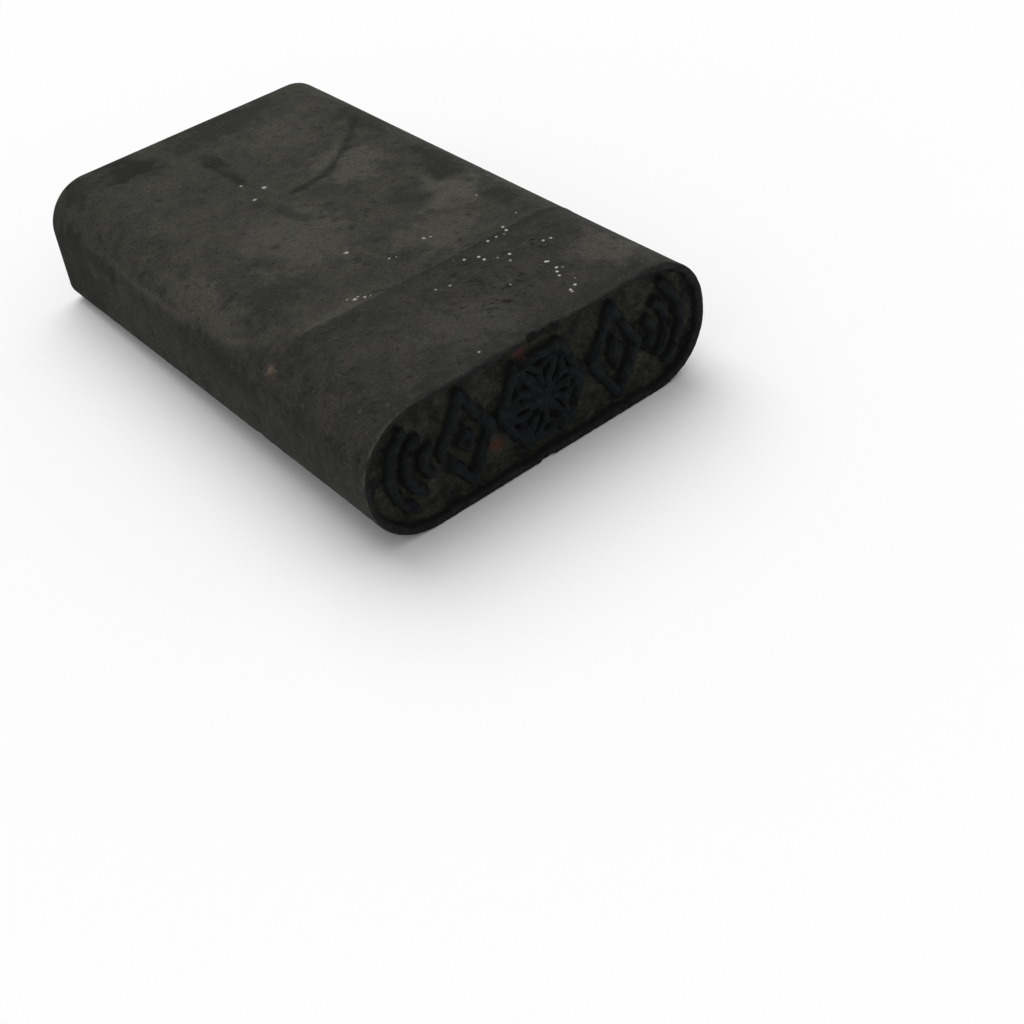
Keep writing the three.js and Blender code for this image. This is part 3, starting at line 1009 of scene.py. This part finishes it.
# Cracks: a noise near its middle value, broken up by the specks, in the places that the attribute gives
links = {"Vector": cell_place(tree, place, CRACKS), "Scale": 1, "Detail": CRACK_DETAIL}
noise = add(tree, "TexNoise", links)
signed = add(tree, "Math", {0: noise, 1: CRACK_MIDDLE}, operation="SUBTRACT")
away = add(tree, "Math", {0: signed}, operation="ABSOLUTE")
cracks = add(tree, "MapRange", {0: away, 1: CRACK_EDGE, 2: CRACK_CORE * CRACK_EDGE})
open_here = add(tree, "MapRange", {0: specks, 1: CRACK_OPEN[0], 2: CRACK_OPEN[1]})
cracked = add(tree, "Attribute", out="Fac", attribute_name="cracked")
for factor in (open_here, cracked):
    cracks = add(tree, "Math", {0: cracks, 1: factor}, operation="MULTIPLY")
for share, tone in ((cracks, CRACK_BLACK), (trails, FLECK_WHITE), (strays, FLECK_WHITE)):
    colour = add(tree, "Mix", {0: share, 6: colour, 7: linear(tone)}, **RGB)
print(len(STRAY_FLECKS), "stray flecks and", len(FLECK_TRAILS), "trails of flecks")

# %% [markdown]
# ## The planed sides
# The layers come together in one shader for both blocks. Soaked, dry wood is rough and nearly without
# gloss, so its specular level is far below that of varnish. The grit and the grain are a bump of a few
# hundredths of a millimetre.

# %% Planed wood
WOOD_ROUGHNESS = (0.66, 0.82)
WOOD_SPECULAR = 0.04
WOOD_BUMP = 0.05


def surface_shader(tree, colour, mottles, roughness, specular, relief, depth):
    """Shader with a colour, a roughness that follows the mottles from a low to a high value, a specular
    level, and the relief as bump of a depth in mm."""
    rough = add(tree, "MapRange", {0: mottles, 3: roughness[0], 4: roughness[1]})
    bump = add(tree, "Bump", {"Height": relief, "Distance": depth * MM})
    links = {"Base Color": colour, "Roughness": rough, "Normal": bump, "Specular IOR Level": specular}
    add(tree, "OutputMaterial", {"Surface": add(tree, "BsdfPrincipled", links)})


relief = add(tree, "Math", {0: grit, 1: grain}, operation="ADD")
surface_shader(tree, colour, mottles, WOOD_ROUGHNESS, WOOD_SPECULAR, relief, WOOD_BUMP)
handle.data.materials.append(planed_wood)
die.data.materials.append(planed_wood)
print("planed wood has", len(tree.nodes), "nodes")

# %% [markdown]
# ## Rim and bare chips
# Here and there a chip shows the red-brown wood itself, two on the face and two on the left shoulder. The
# rim keeps less ink than the marks. Both are places again, so they become attributes too.

# %% Chips
# Chips that show bare wood: x, back, z and radius
BARE_CHIPS = [(-3.4, 2, 28.6, 2.3), (-12.8, 2.3, 9.0, 1.9), (-42, 39.5, 27.4, 1.9), (-41.6, 34, 27.6, 0.9)]
BARE_RAGGED = [(0.9, 1.3, 41), (0.5, 0.6, 43)]
BARE_EDGE = (0.2, 1.2)
BARE_SHARE = 0.8


def from_outer_edge(x, z):
    """Distance of a point of the face from the rim's outer edge: the corner radius less the distance from
    the middle line of the round ends."""
    beyond_x = np.maximum(np.abs(x) - (FACE_WIDTH / 2 - FACE_RADIUS), 0)
    beyond_z = np.maximum(np.abs(z - FACE_CENTRE[1]) - (THICKNESS / 2 - FACE_RADIUS), 0)
    return FACE_RADIUS - np.hypot(beyond_x, beyond_z)


# A chip is a step in its radius less the distance from its middle, with a ragged edge
for piece, points in skins:
    inside = [chip[3] - np.linalg.norm(points - np.array(chip[:3]), axis=1) for chip in BARE_CHIPS]
    bare = BARE_SHARE * soft_step(*BARE_EDGE, np.max(inside, axis=0) + noises(points, BARE_RAGGED))
    store(piece, "bare_spot", bare)
    print("chips show bare wood on", int((bare > BARE_SHARE / 2).sum()), "points of", piece.name)
x, _, z = place_in_mm(die).T
store(die, "on_rim", 1 - soft_step(RIM_WIDTH, RIM_WIDTH + WALL_RUN / 2, from_outer_edge(x, z)))

# %% [markdown]
# ## The inked face
# On the face, the marks carry a blue-black crust of ink, and the walls below them get a painted shade
# nearly as dark. The ground is rough wood with dust and smears of dry ink, and the rim is a dark grey. How
# deep a point lies tells marks, walls and ground apart, so the material reads it from the point's own place.
# Dry ink takes nearly all light, so the face has hardly any gloss.

# %% Inked face
CAP_BLACK = "#0e1113"
CAP_SLATE = "#1f2325"
# Dark tone of the ink smears and the rim's specks, and the painted shade on the carved walls
INK_AND_WALL_SHADE_BLACK = "#191a1a"
GROUND_BLACK = "#21221e"
GROUND_BROWN = "#30312b"
GROUND_DUST = "#404138"
RIM_GREY = "#292a28"
BARE_WOOD = "#4a312a"
DUST = (GROUND_DUST, 0.5, 0.0, 0.7)
SMEARS = (INK_AND_WALL_SHADE_BLACK, 0.55, 0.15, 0.75)
FACE_ROUGHNESS = (0.6, 0.8)
FACE_SPECULAR = 0.04
FACE_BUMP = 0.09
# Depths in mm where the painted shade of the walls begins and where the ground begins, each with the end of
# its change
CAP_EDGE = (0.35, 0.7)
GROUND_EDGE = (1.5, 2.1)

# Blue-black crust on dull olive: the eye tells the relief by tone, because nothing on it shines
inked_face, tree = new_material("ink_crusted_carved_hardwood")
place = add(tree, "TexCoord", out="Object")
mottles, specks, grit = wood_textures(tree, place, (MOTTLES, SPECKS, GRIT))
tones = [(CAP_BLACK, CAP_SLATE), (GROUND_BLACK, GROUND_BROWN), (INK_AND_WALL_SHADE_BLACK, RIM_GREY)]
colour, ground, rim = [
    add(tree, "Mix", {0: texture, 6: linear(dark), 7: linear(light)}, **RGB)
    for texture, (dark, light) in zip((specks, mottles, specks), tones)
]
ground = marked(tree, ground, [(specks, DUST), (mottles, SMEARS)])
back = add(tree, "SeparateXYZ", {0: place}, out="Y")
edges = [[(FACE_Y + depth) * MM for depth in edge] for edge in (CAP_EDGE, GROUND_EDGE)]
painted_wall_shade, on_ground = [add(tree, "MapRange", {0: back, 1: low, 2: high}) for low, high in edges]
at_rim, bare = [add(tree, "Attribute", out="Fac", attribute_name=name) for name in ("on_rim", "bare_spot")]
# The walls between the marks and the ground get a painted shade
layers = [(at_rim, rim), (painted_wall_shade, linear(INK_AND_WALL_SHADE_BLACK)), (on_ground, ground), (bare, linear(BARE_WOOD))]
for share, tone in layers:
    colour = add(tree, "Mix", {0: share, 6: colour, 7: tone}, **RGB)
colour = gritty(tree, colour, grit)
surface_shader(tree, colour, mottles, FACE_ROUGHNESS, FACE_SPECULAR, grit, FACE_BUMP)
die.data.materials.append(inked_face)
# The carved faces lie inside the rim's outer edge and no deeper than the carving
middles = np.empty(len(die.data.polygons) * 3)
die.data.polygons.foreach_get("center", middles)
x, y, z = middles.reshape(-1, 3).T / MM
carved_faces = (from_outer_edge(x, z) > RIM_ROUND / 2) & (y < FACE_Y + RELIEF_DEPTH + GOUGE_DEPTH)
die.data.polygons.foreach_set("material_index", carved_faces.astype(np.int32))
print(int(carved_faces.sum()), "faces of the die are carved and inked")

# %% [markdown]
# ## The pegs
# Turned pegs of bare pale beech, hidden in the joint and clean of ink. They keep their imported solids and
# only get a wood with straight grain along their length.

# %% Peg wood
PEG_PALE = "#b8945f"
PEG_DARK = "#8a6a3f"
PEG_ROUGHNESS = (0.5, 0.65)
PEG_SPECULAR = 0.3

# Bare and turned: a warm pale tone with fine streaks and a faint sheen
bare_wood, tree = new_material("bare_turned_beech")
place = add(tree, "TexCoord", out="Object")
mottles, grain = wood_textures(tree, place, (MOTTLES, GRAIN))
colour = add(tree, "Mix", {0: grain, 6: linear(PEG_PALE), 7: linear(PEG_DARK)}, **RGB)
surface_shader(tree, colour, mottles, PEG_ROUGHNESS, PEG_SPECULAR, grain, WOOD_BUMP)
for node in PEGS:
    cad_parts[node].material_slots[0].material = bare_wood
print("pegs are", bare_wood.name)

# %% [markdown]
# ## Shading and hand-over
# Broad surfaces are shaded smooth, and edges sharper than a set angle stay crisp, as on the cut walls of
# the relief. Each skin then takes the place of its solid and rides on the part's one body.

# %% Hand over
SHARP_ANGLE = math.radians(45)
for piece, node, slot in ((handle, "handle_block", "handle_wood"), (die, "die_block", "die_wood")):
    piece.data.shade_smooth()
    piece.data.set_sharp_from_angle(angle=SHARP_ANGLE)
    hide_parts(node)
    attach(piece, "root")
    print(piece.name, "stands for", node, "with", len(piece.data.polygons), "faces")
